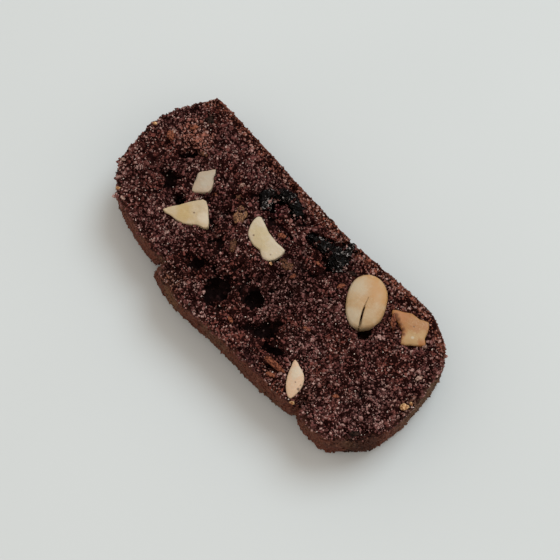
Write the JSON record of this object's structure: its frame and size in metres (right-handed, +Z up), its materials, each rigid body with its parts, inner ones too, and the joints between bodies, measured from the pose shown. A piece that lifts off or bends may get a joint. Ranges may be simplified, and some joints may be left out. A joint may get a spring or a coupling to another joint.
{
  "type": "chocolate biscotti slice",
  "caption": "Slice of dark chocolate biscotti with blanched almond pieces and raisins, lying on a cut face, with a flat base crust and a cracked, rounded top crust.",
  "frame": {"origin": "centre of the bounding box, at the level of the plate under the slice", "axes": "+X along the slice, +Y towards the loaf's flat base crust, +Z up, out of the cut face that shows"},
  "size_m": [0.0876, 0.0392, 0.0138],
  "materials": {
    "dough": "matte, granular baked crumb",
    "almond": "smooth, slightly waxy",
    "almond_toasted": "smooth, slightly waxy, toasted",
    "raisin": "wrinkled, half gloss"
  },
  "bodies": {
    "root": {"dough": "dough", "almond_whole": "almond", "almond_middle": "almond", "almond_sail": "almond", "almond_rhombus": "almond", "almond_right": "almond_toasted", "almond_spindle": "almond", "almond_below_left": "almond", "almond_below_right": "almond", "raisin_lower": "raisin", "raisin_upper": "raisin", "raisin_below": "raisin"}
  },
  "joints": []
}
